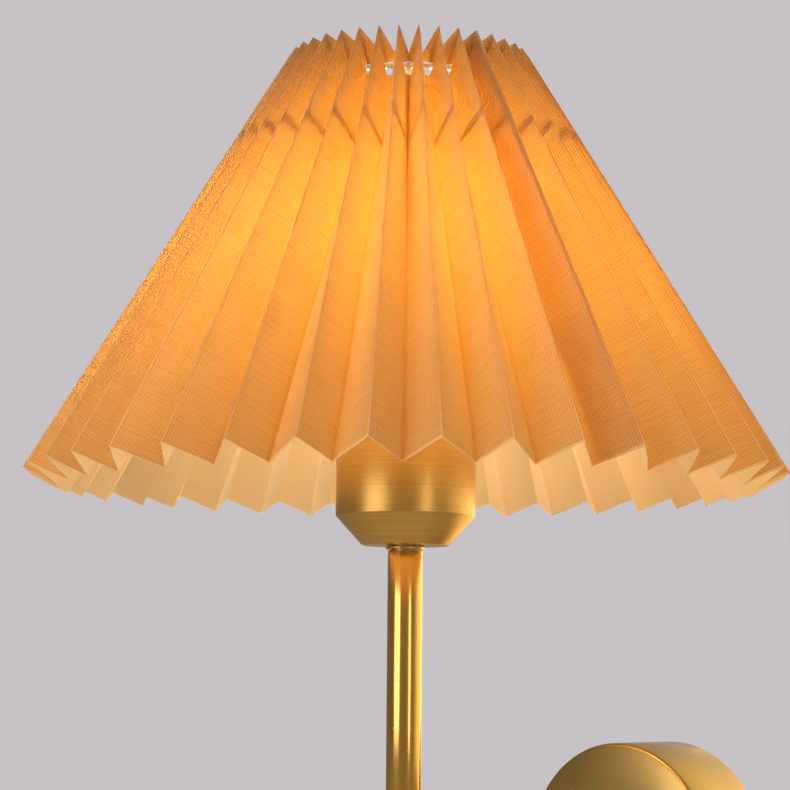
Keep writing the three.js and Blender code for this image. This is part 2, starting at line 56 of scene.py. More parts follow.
MM = 0.001
GAP = 0.0003  # clearance between neighbouring pieces
WALL_MOUNT = "wall_mount"
SHADE_BODY = "shade"
BULB_BODY = "bulb"
LOCK_BODY = "lock_ring"
THREAD_MM = 0.8
THREAD_RELIEF = 0.0002
GRAIN_RELIEF = 0.00005  # height of tool lines and of paint's orange peel
WAVE_SCALE = 0.31416  # a wave texture at this scale repeats once a metre
VALLEY_TURN = math.radians(-47.2)  # where the first valley faces
ALONG = 20  # cells up each pleat face
ACROSS = 6  # cells across each pleat face
CLOTH_LAYERS = ("linen", "backing", "cut_edge")
SEAM_FOLD = 7  # the strip's glued end lies at this fold, counted from the first valley
NOTCH_HIGH = 0.0042
NOTCH_SLOPE = math.asin(3.0 / 9.5)  # a notch falls outwards from its valley
LEG_TURN = 0.0091  # a leg turns out this far before its end
LEG_BEND = 0.0027  # from there to the highest point of its bend
LEG_WIRE = 0.0011
LEG_LIFT = 0.0001  # keeps the foot within its node
LEG_FOOT = 0.0284  # from the stem's axis to a leg's foot


# ---------- places read from the frame ----------
def middle(node):
    low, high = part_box(node)
    return (low + high) / 2


def reach(node, axis=0):
    """Half of a node's width along one axis."""
    low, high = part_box(node)
    return (high[axis] - low[axis]) / 2


STEM = Vector((middle("stem_tube").x, middle("stem_tube").y, 0))
SHADE_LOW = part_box("pleated_shade")[0].z


def on_stem(height):
    """The point of the stem's axis at a height."""
    return STEM + Vector((0, 0, height))


# ---------- settings a user would change ----------
class ShadeSettings(bpy.types.PropertyGroup):
    pleats: bpy.props.IntProperty(
        name="Pleats", description="Number of ridges round the shade", default=38, min=8
    )
    rim_radius: bpy.props.FloatProperty(
        name="Rim radius", description="Axis to a ridge's lower corner", default=0.130, unit="LENGTH"
    )
    top_radius: bpy.props.FloatProperty(
        name="Top radius", description="Axis to a ridge's upper corner", default=0.0413, unit="LENGTH"
    )
    height: bpy.props.FloatProperty(
        name="Height", description="Height of a ridge", default=0.1473, unit="LENGTH"
    )
    face: bpy.props.FloatProperty(
        name="Pleat face", description="Width of one face, fold to fold", default=0.0163, unit="LENGTH"
    )
    drop: bpy.props.FloatProperty(
        name="Valley drop", description="How far valley corners hang below ridges",
        default=0.0061, unit="LENGTH",
    )
    sheet: bpy.props.FloatProperty(
        name="Cloth", description="Thickness of linen and backing", default=0.00045, unit="LENGTH"
    )
    notch: bpy.props.FloatProperty(
        name="Notch", description="How far out each valley is slotted", default=0.0095, unit="LENGTH"
    )
    notch_down: bpy.props.FloatProperty(
        name="Notch place", description="Valley's top end to the hole's middle", default=0.0065, unit="LENGTH"
    )


class LightSettings(bpy.types.PropertyGroup):
    bulb_strength: bpy.props.FloatProperty(
        name="Bulb", description="Brightness of the bulb's glass", default=5.0
    )
    filament_power: bpy.props.FloatProperty(
        name="Filament", description="Light from the middle of the bulb, watts", default=1.42
    )
    bulb_colour: bpy.props.FloatVectorProperty(
        name="Bulb colour", description="Colour of the bulb's light",
        subtype="COLOR", default=(1.0, 0.84, 0.52),
    )
    side_power: bpy.props.FloatProperty(name="Side light", description="Left softbox, watts", default=11.0)
    front_power: bpy.props.FloatProperty(name="Front light", description="Right softbox, watts", default=4.0)


# ---------- materials ----------
def linear(hex_colour):
    """An sRGB hex colour as linear red, green, blue and 1."""
    out = []
    for i in (1, 3, 5):
        value = int(hex_colour[i : i + 2], 16) / 255
        out.append(value / 12.92 if value <= 0.04045 else ((value + 0.055) / 1.055) ** 2.4)
    return (*out, 1.0)


def add_node(tree, kind, settings=None, links=None, **values):
    """Adds a node, sets its properties and socket values, and links sockets from other nodes' outputs."""
    node = tree.nodes.new(kind)
    for key, value in (settings or {}).items():
        setattr(node, key, value)
    for key, value in values.items():
        node.inputs[key.replace("_", " ")].default_value = value
    for key, source in (links or {}).items():
        tree.links.new(source, node.inputs[key])
    return node


MATERIALS = {}


def new_material(name):
    """An empty material, listed under its name."""
    material = bpy.data.materials.new(name)
    MATERIALS[name] = material
    material.use_nodes = True
    tree = material.node_tree
    tree.nodes.clear()
    return material, tree


def finish_material(tree, shader):
    add_node(tree, "ShaderNodeOutputMaterial", links={"Surface": shader})


def ramp(tree, source, stops):
    """Turns a grey pattern into hex colours at the given places."""
    node = add_node(tree, "ShaderNodeValToRGB", links={"Fac": source})
    for element, (place, colour) in zip(node.color_ramp.elements, stops):
        element.position, element.color = place, linear(colour)
    return node.outputs["Color"]


def brushed_brass(name, colour, dark, roughness, along, line_mm, depth):
    """Lacquered brass, turned or drawn: fine tool lines and a slow colour change in the lacquer."""
    material, tree = new_material(name)
    place = add_node(tree, "ShaderNodeTexCoord").outputs["Object"]
    across = 1000 / line_mm
    scale = [along_axis * across + (1 - along_axis) * 8 for along_axis in along]
    lines = add_node(tree, "ShaderNodeMapping", links={"Vector": place}, Scale=scale)
    grain = add_node(
        tree, "ShaderNodeTexNoise", links={"Vector": lines.outputs[0]}, Scale=1.0, Detail=3.0, Roughness=0.6
    )
    cloud = add_node(tree, "ShaderNodeTexNoise", links={"Vector": place}, Scale=22.0, Detail=2.0)
    tone = add_node(
        tree,
        "ShaderNodeMix",
        {"data_type": "FLOAT"},
        {2: grain.outputs["Fac"], 3: cloud.outputs["Fac"]},
    )
    tone.inputs[0].default_value = 0.5
    shade = ramp(tree, tone.outputs[0], [(0.3, dark), (0.62, colour)])
    rough = add_node(
        tree, "ShaderNodeMapRange", links={"Value": grain.outputs["Fac"]},
        To_Min=roughness * 0.8, To_Max=roughness * 1.25,
    )
    bump = add_node(
        tree, "ShaderNodeBump", links={"Height": grain.outputs["Fac"]}, Strength=depth, Distance=GRAIN_RELIEF
    )
    shader = add_node(
        tree,
        "ShaderNodeBsdfPrincipled",
        links={"Base Color": shade, "Roughness": rough.outputs[0], "Normal": bump.outputs[0]},
        Metallic=1.0,
    )
    finish_material(tree, shader.outputs[0])
    return material


def plain_grain(name, colour, dark, roughness, metallic, grain_mm, depth, coat=0.0):
    """A moulded, plated or painted surface: faint mottling and orange peel at the grain's size."""
    material, tree = new_material(name)
    place = add_node(tree, "ShaderNodeTexCoord").outputs["Object"]
    grain = add_node(
        tree, "ShaderNodeTexNoise", links={"Vector": place}, Scale=1000 / grain_mm / 2, Detail=4.0
    )
    cloud = add_node(tree, "ShaderNodeTexNoise", links={"Vector": place}, Scale=35.0, Detail=3.0)
    shade = ramp(tree, cloud.outputs["Fac"], [(0.3, dark), (0.7, colour)])
    rough = add_node(
        tree, "ShaderNodeMapRange", links={"Value": cloud.outputs["Fac"]},
        To_Min=roughness * 0.85, To_Max=roughness * 1.2,
    )
    bump = add_node(
        tree, "ShaderNodeBump", links={"Height": grain.outputs["Fac"]}, Strength=depth, Distance=GRAIN_RELIEF
    )
    shader = add_node(
        tree,
        "ShaderNodeBsdfPrincipled",
        links={"Base Color": shade, "Roughness": rough.outputs[0], "Normal": bump.outputs[0]},
        Metallic=metallic,
        Coat_Weight=coat,
    )
    finish_material(tree, shader.outputs[0])
    return material


def cloth_pattern(tree):
    """The cloth's flat coordinates in metres, its plain weave's thread height, and its slubs' tone."""
    flat = add_node(tree, "ShaderNodeUVMap", {"uv_map": "cloth"}).outputs["UV"]
    scale = WAVE_SCALE / (THREAD_MM * MM)
    warp, weft = (
        add_node(
            tree, "ShaderNodeTexWave", {"bands_direction": way}, {"Vector": flat},
            Scale=scale, Distortion=0.5, Detail=1.0, Detail_Scale=0.4,
        )
        for way in ("X", "Y")
    )
    weave = add_node(
        tree, "ShaderNodeMath", {"operation": "MULTIPLY"}, {0: warp.outputs["Fac"], 1: weft.outputs["Fac"]}
    )
    wide = add_node(tree, "ShaderNodeMapping", links={"Vector": flat}, Scale=(90, 1500, 1))
    slubs = add_node(tree, "ShaderNodeTexNoise", links={"Vector": wide.outputs[0]}, Scale=1.0, Detail=2.0)
    return flat, weave.outputs[0], slubs.outputs["Fac"]


def crease(tree, flat):
    """Two masks: along the ridges and the cut lower edge, for a painted highlight and the pale cut edge, and
    along the valleys, for painted shade.
    """
    s = bpy.context.scene.lamp_shade
    axes = add_node(tree, "ShaderNodeSeparateXYZ", links={"Vector": flat})
    away = add_node(tree, "ShaderNodeMath", {"operation": "PINGPONG"}, {0: axes.outputs["X"]})
    away.inputs[1].default_value = s.face
    ridge = add_node(
        tree, "ShaderNodeMapRange", links={"Value": away.outputs[0]},
        From_Min=s.face - 0.0005, From_Max=s.face - 0.0001,
    )
    # valley mask: where painted shade goes
    valley = add_node(
        tree, "ShaderNodeMapRange", links={"Value": away.outputs[0]},
        From_Min=0.0002, From_Max=0.0022, To_Min=1.0, To_Max=0.0,
    )
    edge = add_node(
        tree, "ShaderNodeMapRange", links={"Value": axes.outputs["Y"]},
        From_Min=0.0001, From_Max=0.0005, To_Min=1.0, To_Max=0.0,
    )
    # painted highlight along the ridges, joined with the pale cut lower edge
    pale = add_node(
        tree, "ShaderNodeMath", {"operation": "MAXIMUM"}, {0: ridge.outputs[0], 1: edge.outputs[0]}
    )
    return pale.outputs[0], valley.outputs[0]


def mixed_colour(tree, share, first, second):
    """The first colour where share is 0 and the second where it is 1. Either may be a socket."""
    mix = add_node(tree, "ShaderNodeMix", {"data_type": "RGBA"}, {0: share})
    for slot, colour in ((6, first), (7, second)):
        if isinstance(colour, bpy.types.NodeSocket):
            tree.links.new(colour, mix.inputs[slot])
        else:
            mix.inputs[slot].default_value = colour
    return mix.outputs[2]


def blend(tree, share, under, over, amount):
    """A colour laid over another where share is 1, at no more than the given amount."""
    part = add_node(tree, "ShaderNodeMath", {"operation": "MULTIPLY"}, {0: share})
    part.inputs[1].default_value = amount
    return mixed_colour(tree, part.outputs[0], under, over)


def lit_cloth(name, light, dark, glow_light, glow_dark, through, depth, painted_fold_light=1.0):
    """Cloth with light behind it: thread shadows, a painted highlight along the ridges beside the pale cut
    edge, painted shade down the valleys, and light let through.
    """
    material, tree = new_material(name)
    flat, weave, slubs = cloth_pattern(tree)
    both = add_node(tree, "ShaderNodeMix", {"data_type": "FLOAT"}, {2: slubs, 3: weave})
    both.inputs[0].default_value = 0.6
    pale, deep = crease(tree, flat)
    front = ramp(tree, both.outputs[0], [(0.15, dark), (0.65, light)])
    # painted highlight along the ridges, with the pale cut edge, and painted shade down the valleys, on the
    # cloth's face
    front = blend(tree, pale, front, linear("#fff0d2"), 0.6 * painted_fold_light)
    front = blend(tree, deep, front, linear("#b07236"), 0.35 * painted_fold_light)
    behind = ramp(tree, both.outputs[0], [(0.15, glow_dark), (0.65, glow_light)])
    # the same painted highlight and painted shade in the light let through
    behind = blend(tree, pale, behind, linear("#ffe9bb"), 0.5 * painted_fold_light)
    behind = blend(tree, deep, behind, linear("#ee9a3a"), 0.35 * painted_fold_light)
    bump = add_node(
        tree, "ShaderNodeBump", links={"Height": both.outputs[0]}, Strength=depth, Distance=THREAD_RELIEF
    )
    surface = add_node(
        tree,
        "ShaderNodeBsdfPrincipled",
        links={"Base Color": front, "Normal": bump.outputs[0]},
        Roughness=0.85,
        Sheen_Weight=0.15,
        Sheen_Roughness=0.5,
    )
    light_through = add_node(
        tree, "ShaderNodeBsdfTranslucent", links={"Color": behind, "Normal": bump.outputs[0]}
    )
    mixed = add_node(
        tree, "ShaderNodeMixShader", links={1: surface.outputs[0], 2: light_through.outputs[0]}, Fac=through
    )
    finish_material(tree, mixed.outputs[0])
    return material


def opal_glass():
    """Opal bulb glass: a white, faintly clouded skin with the lamp's warm light behind it."""
    light = bpy.context.scene.lamp_light
    material, tree = new_material("opal_glass")
    place = add_node(tree, "ShaderNodeTexCoord").outputs["Object"]
    cloud = add_node(tree, "ShaderNodeTexNoise", links={"Vector": place}, Scale=60.0, Detail=2.0)
    shade = ramp(tree, cloud.outputs["Fac"], [(0.3, "#f4e2bf"), (0.7, "#fff4dc")])
    shader = add_node(
        tree,
        "ShaderNodeBsdfPrincipled",
        links={"Base Color": shade},
        Roughness=0.25,
        Coat_Weight=0.4,
        Emission_Color=(*light.bulb_colour, 1.0),
        Emission_Strength=light.bulb_strength,
    )
    finish_material(tree, shader.outputs[0])
    return material


def make_materials():
    drawn = (1, 1, 0)
    turned_up = (0, 0, 1)
    brushed_brass("drawn_brass", "#e2b566", "#c99a4c", 0.17, drawn, 0.5, 0.03)
    brushed_brass("satin_brass", "#d8b36a", "#b98f49", 0.34, turned_up, 0.25, 0.22)
    brushed_brass("spun_brass", "#cfae6a", "#b08a48", 0.3, (0, 1, 0), 0.25, 0.22)
    plain_grain("stamped_brass", "#d9b068", "#b98c43", 0.35, 1.0, 0.6, 0.1)
    plain_grain("zinc_steel", "#c4c8c9", "#9ba1a4", 0.4, 1.0, 0.8, 0.15)
    plain_grain("nickel", "#d6d3cc", "#b4b0a8", 0.28, 1.0, 0.6, 0.08)
    plain_grain("white_enamel", "#f6f4ee", "#e9e5da", 0.35, 0.0, 0.5, 0.12, 0.3)
    plain_grain("bakelite", "#2b2522", "#1a1614", 0.3, 0.0, 0.6, 0.1, 0.2)
    plain_grain("white_nylon", "#efede6", "#dedacf", 0.5, 0.0, 0.5, 0.15)
    plain_grain("brown_pvc", "#7a4a2b", "#5e361d", 0.45, 0.0, 0.5, 0.1)
    plain_grain("blue_pvc", "#3b70b8", "#28559a", 0.45, 0.0, 0.5, 0.1)
    plain_grain("green_pvc", "#8fb13f", "#5f8b2c", 0.45, 0.0, 0.5, 0.1)
    opal_glass()
    # a last number, where given, scales the painted highlight on the ridges and the painted shade in the
    # valleys
    lit_cloth("linen", "#e2c49a", "#b28c5c", "#ffdc86", "#f2b258", 0.5, 0.5)
    lit_cloth("backing", "#d6cfb8", "#cbc2a6", "#fff0cc", "#fce7b8", 0.55, 0.15, 0.2)
    lit_cloth("glued_lap", "#d6cfb8", "#cbc2a6", "#fff8e6", "#fdeccb", 0.86, 0.15, 0.2)
    lit_cloth("cut_edge", "#fbeed2", "#ecd2a2", "#ffd68a", "#f3b45c", 0.4, 0.2)


CARRIED = {
    "terminal_block": "white_nylon",
    "terminal_screw_live": "stamped_brass",
    "terminal_screw_neutral": "stamped_brass",
    "terminal_screw_earth": "stamped_brass",
    "earth_screw": "stamped_brass",
    "earth_tag": "zinc_steel",
    "arm_washer": "zinc_steel",
    "arm_nut": "stamped_brass",
    "arm_nipple": "zinc_steel",
    "cup_nut": "stamped_brass",
    "holder_nipple": "zinc_steel",
    "holder_cap": "bakelite",
    "screw_shell": "stamped_brass",
    "centre_contact": "stamped_brass",
    "bulb_insulator": "bakelite",
    "bulb_tip": "nickel",
    "bulb_light_board": "white_nylon",
    "live_lead": "brown_pvc",
    "neutral_lead": "blue_pvc",
    "earth_lead": "green_pvc",
    "wall_bracket": "zinc_steel",
}


# ---------- modelling helpers ----------
def clear_selection():
    if bpy.context.object and bpy.context.object.mode != "OBJECT":
        bpy.ops.object.mode_set(mode="OBJECT")
    bpy.ops.object.select_all(action="DESELECT")


def activate(ob):
    """Makes a piece the only selected one and the active one."""
    clear_selection()
    ob.select_set(True)
    bpy.context.view_layer.objects.active = ob


def pick(ob, test, kind="VERT"):
    """Selects, in edit mode, just the vertices, edges or faces that pass the test."""
    bpy.ops.object.mode_set(mode="EDIT")
    bpy.ops.mesh.select_mode(type=kind)
    bpy.ops.mesh.select_all(action="DESELECT")
    bpy.ops.object.mode_set(mode="OBJECT")
    parts = {"VERT": ob.data.vertices, "EDGE": ob.data.edges, "FACE": ob.data.polygons}[kind]
    for part in parts:
        part.select = bool(test(part))
    bpy.ops.object.mode_set(mode="EDIT")


def leave_edit():
    bpy.ops.object.mode_set(mode="OBJECT")


def apply_modifier(ob, kind, **settings):
    modifier = ob.modifiers.new(kind.lower(), kind)
    for key, value in settings.items():
        setattr(modifier, key, value)
    bpy.context.view_layer.objects.active = ob
    bpy.ops.object.modifier_apply(modifier=modifier.name)


def smooth_below(degrees):
    """Shades the active piece smooth where its faces meet at less than this angle."""
    bpy.ops.object.shade_smooth_by_angle(angle=math.radians(degrees))


def turned(name, profile, sides=96, edge=None):
    """A ring or plug about +Z: a circle pulled from point to point of its profile of (radius, height)."""
    clear_selection()
    points = [p for p in profile if p[0] > 0]
    radius, height = points[0]
    bpy.ops.mesh.primitive_circle_add(vertices=sides, radius=radius, location=(0, 0, height))
    ob = bpy.context.object
    ob.name = name
    bpy.ops.object.transform_apply(location=True)
    bpy.ops.object.mode_set(mode="EDIT")
    bpy.ops.mesh.select_mode(type="VERT")
    bpy.ops.mesh.select_all(action="SELECT")
    for (r0, z0), (r1, z1) in zip(points, points[1:]):
        bpy.ops.mesh.extrude_region_move(TRANSFORM_OT_translate={"value": (0, 0, z1 - z0)})
        share = r1 / r0
        bpy.ops.transform.resize(value=(share, share, 1), center_override=(0, 0, z1))
    if profile[-1][0] == 0:
        bpy.ops.mesh.edge_face_add()
    if profile[0][0] == 0:
        pick(ob, lambda v: abs(v.co.z - height) < 1e-6 and abs(v.co.xy.length - radius) < 1e-6)
        bpy.ops.mesh.edge_face_add()
    bpy.ops.mesh.select_all(action="SELECT")
    bpy.ops.mesh.remove_doubles(threshold=1e-6)
    bpy.ops.mesh.normals_make_consistent(inside=False)
    leave_edit()
    if edge:
        apply_modifier(
            ob, "BEVEL", width=edge, segments=2, limit_method="ANGLE", angle_limit=math.radians(30)
        )
    smooth_below(35)
    return ob


def seat(ob, place, turn=(0, 0, 0)):
    """Puts a finished shape in its place and leaves its object at the origin."""
    activate(ob)
    ob.rotation_euler = turn
    bpy.ops.object.transform_apply(location=True, rotation=True, scale=True)
    ob.location = place
    bpy.ops.object.transform_apply(location=True, rotation=True, scale=True)
    return ob


def dress(ob, materials):
    """Replaces a piece's materials by the named ones."""
    ob.data.materials.clear()
    for name in materials:
        ob.data.materials.append(MATERIALS[name])


def settle(ob, material, body, node):
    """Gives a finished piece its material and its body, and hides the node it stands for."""
    dress(ob, [material])
    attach(ob, body)
    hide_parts(node)
    return ob


OUTWARD = (math.pi / 2, 0, 0)  # lays a piece made about +Z along -Y, out from the wall


def ring_profile(bore, radius, low, high):
    return [(bore, low), (radius, low), (radius, high), (bore, high), (bore, low)]


def cut(ob, tool):
    """Cuts a tool out of a piece and throws the tool away."""
    bpy.context.view_layer.objects.active = ob
    apply_modifier(ob, "BOOLEAN", operation="DIFFERENCE", solver="EXACT", object=tool)
    bpy.data.objects.remove(tool)


# ---------- pleated shade ----------
def shade_folds():
    """Ends of a valley and of a ridge as (radius, height) above the rim, and the step between folds."""
    s = bpy.context.scene.lamp_shade
    step = math.pi / s.pleats

    def inward(radius, height):
        flat = math.sqrt(s.face**2 - s.drop**2)
        side = radius * math.sin(step)
        return radius * math.cos(step) - math.sqrt(flat**2 - side**2), height - s.drop

    ridge = ((s.rim_radius, 0.0), (s.top_radius, s.height))
    valley = (inward(*ridge[0]), inward(*ridge[1]))
    return valley, ridge, step


def from_valley(spot):
    """A point's angle from the first valley, from 0 to a full turn."""
    return (math.atan2(spot.y, spot.x) - VALLEY_TURN) % (2 * math.pi)


def fold_wander(count, seed, size):
    """Small random differences from fold to fold, the same each run."""
    draw = random.Random(seed)
    return [draw.uniform(-size, size) for _ in range(count)]


def pleat_cloth():
    """The folded sheet with no thickness: a many-sided circle pulled up, with every other point drawn in."""
    valley, ridge, step = shade_folds()
    s = bpy.context.scene.lamp_shade
    count = 2 * s.pleats
    clear_selection()
    bpy.ops.mesh.primitive_circle_add(vertices=count, radius=ridge[0][0], location=(0, 0, 0))
    ob = bpy.context.object
    ob.name = "linen_shade"
    first = ob.data.vertices[0].co
    spin = VALLEY_TURN - math.atan2(first.y, first.x)

    def draw_in(end, low):
        radius, height = valley[end]
        pick(ob, lambda v: v.index % 2 == 0 and (v.co.z < 0.01) == low)
        start = ridge[end]
        share = radius / start[0]
        bpy.ops.transform.resize(value=(share, share, 1), center_override=(0, 0, 0))
        bpy.ops.transform.translate(value=(0, 0, height - start[1]))
        leave_edit()

    bpy.ops.object.mode_set(mode="EDIT")
    bpy.ops.mesh.select_mode(type="VERT")
    bpy.ops.mesh.select_all(action="SELECT")
    bpy.ops.mesh.extrude_region_move(TRANSFORM_OT_translate={"value": (0, 0, ridge[1][1])})
    share = ridge[1][0] / ridge[0][0]
    bpy.ops.transform.resize(value=(share, share, 1), center_override=(0, 0, ridge[1][1]))
    leave_edit()
    draw_in(1, False)
    draw_in(0, True)
    long_edge, face_wide = 3 * s.face, 0.8 * s.face

    def length(edge):
        a, b = (ob.data.vertices[i].co for i in edge.vertices)
        return (a - b).length

    pick(ob, lambda e: length(e) > long_edge, "EDGE")
    bpy.ops.mesh.subdivide(number_cuts=ALONG - 1)
    leave_edit()
    pick(ob, lambda e: length(e) > face_wide, "EDGE")
    bpy.ops.mesh.subdivide(number_cuts=ACROSS - 1)
    leave_edit()
    ob.rotation_euler = (0, 0, spin)
    bpy.ops.object.transform_apply(rotation=True)
    return ob, valley, ridge, step, count


def lay_flat(ob, valley, ridge, step, count):
    """Gives the sheet its flat coordinates in metres, as it was before folding."""
    s = bpy.context.scene.lamp_shade
    layer = ob.data.uv_layers.new(name="cloth")
    ends = []
    for k in range(count + 1):
        pair = valley if k % 2 == 0 else ridge
        turn = VALLEY_TURN + k * step
        low, high = (Vector((r * math.cos(turn), r * math.sin(turn), z)) for r, z in pair)
        ends.append((low, (high - low).normalized()))
    for face in ob.data.polygons:
        k = int(from_valley(face.center) / step)
        low, way = ends[k]
        for loop in face.loop_indices:
            offset = ob.data.vertices[ob.data.loops[loop].vertex_index].co - low
            along = offset.dot(way)
            across = (offset - along * way).length
            layer.data[loop].uv = (k * s.face + across, along)


def relax_folds(ob, step, count):
    """Real pleats are a little uneven: folds wander sideways and faces bow slightly between them."""
    sideways = fold_wander(count, 11, 0.16 * step)
    bow = fold_wander(count, 12, 0.00035)
    held_at_top = 0.7
    s = bpy.context.scene.lamp_shade
    for v in ob.data.vertices:
        turn = from_valley(v.co)
        k = int(turn / step)
        part = turn / step - k
        near, far = sideways[k % count], sideways[(k + 1) % count]
        rise = max(0.0, min(1.0, v.co.z / s.height))
        free = 1 - rise**2 * held_at_top
        shift = (near * (1 - part) + far * part) * free
        out = v.co.xy.length + math.sin(math.pi * part) * bow[k % count] * free
        at = math.atan2(v.co.y, v.co.x) + shift
        v.co.x, v.co.y = out * math.cos(at), out * math.sin(at)


def notch_tool(valley, step):
    """One punch, copied round to every valley."""
    s = bpy.context.scene.lamp_shade
    (r0, z0), (r1, z1) = valley
    length = math.hypot(r0 - r1, z1 - z0)
    share = 1 - s.notch_down / length
    radius, height = r0 + (r1 - r0) * share, z0 + (z1 - z0) * share
    clear_selection()
    inside = 0.003  # a punch starts this far inside its valley
    deep, wide, high = s.notch + inside, 0.007, NOTCH_HIGH
    rounding = 0.42 * high
    bpy.ops.mesh.primitive_cube_add(size=1, location=(0, 0, 0))
    punch = bpy.context.object
    punch.dimensions = (deep, wide, high)
    bpy.ops.object.transform_apply(location=False, rotation=False, scale=True)
    pick(punch, lambda v: v.co.x > 0 and v.co.z < 0)
    bpy.ops.mesh.bevel(offset=rounding, segments=5)
    leave_edit()
    punch.data.transform(Matrix.Translation((s.notch - deep / 2, 0, 0)))
    punch.data.transform(Matrix.Rotation(NOTCH_SLOPE, 4, "Y"))
    punch.data.transform(Matrix.Translation((radius, 0, height)))
    punches = [punch]
    for i in range(s.pleats):
        copy = punch.copy()
        copy.data = punch.data.copy()
        copy.data.transform(Matrix.Rotation(VALLEY_TURN + 2 * i * step, 4, "Z"))
        bpy.context.collection.objects.link(copy)
        punches.append(copy)
    bpy.data.objects.remove(punch)
    clear_selection()
    for copy in punches[1:]:
        copy.select_set(True)
    bpy.context.view_layer.objects.active = punches[1]
    bpy.ops.object.join()
    return bpy.context.object


def lap_strip(ob, step):
    """The strip's end, glued on inside: a copy of the cloth between the seam's fold and the one before."""
    activate(ob)
    bpy.ops.object.duplicate()
    lap = bpy.context.object
    lap.name = "linen_lap"
    seam = SEAM_FOLD * step
    slack = 0.005 * step

    def off_seam(face):
        return not (seam - step + slack < from_valley(face.center) < seam - slack)

    pick(lap, off_seam, "FACE")
    bpy.ops.mesh.delete(type="FACE")
    bpy.ops.mesh.select_all(action="SELECT")
    leave_edit()
    return lap


class LAMP_OT_shade(bpy.types.Operator):
    """Folds the linen strip into the pleated shade, with its notches and its glued lap"""

    bl_idname = "lamp.shade"
    bl_label = "Pleated shade"

    def execute(self, context):
        s = context.scene.lamp_shade
        ob, valley, ridge, step, count = pleat_cloth()
        lay_flat(ob, valley, ridge, step, count)
        relax_folds(ob, step, count)
        pick(ob, lambda f: True, "FACE")
        bpy.ops.mesh.normals_make_consistent(inside=False)
        leave_edit()
        lap = lap_strip(ob, step)
        lap_inward = 2.2  # the lap lies inside the strip, so little off it that the glue fills the gap
        for piece, inward in ((ob, 0.0), (lap, lap_inward)):
            dress(piece, CLOTH_LAYERS if piece is ob else ("glued_lap",) * 3)
            activate(piece)
            apply_modifier(
                piece, "SOLIDIFY", thickness=s.sheet, offset=-inward, use_even_offset=False,
                material_offset=1, material_offset_rim=2,
            )
        punches = notch_tool(valley, step)
        dress(punches, CLOTH_LAYERS)
        for face in punches.data.polygons:
            face.material_index = CLOTH_LAYERS.index("cut_edge")
        cut(ob, punches)
        place = on_stem(SHADE_LOW + s.drop)
        for piece in (ob, lap):
            seat(piece, place)
            activate(piece)
            smooth_below(20)
            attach(piece, SHADE_BODY)
        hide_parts("pleated_shade")
        return {"FINISHED"}


# ---------- wire carrier ----------
def wire_ring(name, node):
    """A bent wire ring, butt-welded: a torus as wide as its node, with a slight weld bead."""
    low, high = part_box(node)
    wire = (high.z - low.z) / 2
    radius = (high.x - low.x) / 2 - wire
    clear_selection()
    bpy.ops.mesh.primitive_torus_add(
        major_segments=144, minor_segments=16, major_radius=radius, minor_radius=wire, location=(0, 0, 0)
    )
    ob = bpy.context.object
    ob.name = name
    weld_turn, weld_half, bead = 2.0, 0.03, 0.0002
    pick(ob, lambda v: abs(math.atan2(v.co.y, v.co.x) - weld_turn) < weld_half)
    bpy.ops.transform.shrink_fatten(value=bead)
    leave_edit()
    bpy.ops.object.shade_smooth()
    seat(ob, on_stem((low.z + high.z) / 2))
    return settle(ob, "white_enamel", SHADE_BODY, node)


def carrier_leg(index):
    """One leg: a wire up a valley inside both rings, then out through that valley's notch."""
    node = f"carrier_leg_{index}"
    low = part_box(node)[0]
    way = middle(node) - STEM
    turn = math.atan2(way.y, way.x)
    side = Vector((math.cos(turn), math.sin(turn), 0))
    ring_low, ring_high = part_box("low_wire_ring")
    top_low, top_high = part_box("top_wire_ring")
    level = (ring_low.z + ring_high.z) / 2
    hook = (top_low.z + top_high.z) / 2
    belly = reach("low_wire_ring") - (ring_high.z - ring_low.z) - LEG_WIRE - GAP
    end = reach("top_wire_ring") - (top_high.z - top_low.z) - GAP
    foot = low.z + LEG_WIRE + LEG_LIFT
    throat = end - LEG_TURN
    below, sill, crown = -0.0037, 0.0003, 0.002  # heights on the way out, from the top ring's
    spots = [
        (LEG_FOOT, foot),
        ((LEG_FOOT + belly) / 2, (foot + level) / 2),
        (belly, level),
        ((belly + throat) / 2, (level + hook) / 2),
        (throat, hook + below),
        (throat, hook + sill),
        (throat + LEG_BEND, hook + crown),
        (end, hook),
    ]
    curve = bpy.data.curves.new(node + "_wire", "CURVE")
    curve.dimensions = "3D"
    spline = curve.splines.new("BEZIER")
    spline.bezier_points.add(len(spots) - 1)
    for point, (radius, height) in zip(spline.bezier_points, spots):
        point.co = STEM + side * radius + Vector((0, 0, height))
        point.handle_left_type = point.handle_right_type = "AUTO"
    curve.bevel_depth = LEG_WIRE
    curve.bevel_resolution = 3
    curve.use_fill_caps = True
    ob = bpy.data.objects.new(node + "_wire", curve)
    bpy.context.collection.objects.link(ob)
    activate(ob)
    bpy.ops.object.convert(target="MESH")
    ob = bpy.context.object
    smooth_below(40)
    return settle(ob, "white_enamel", SHADE_BODY, node)


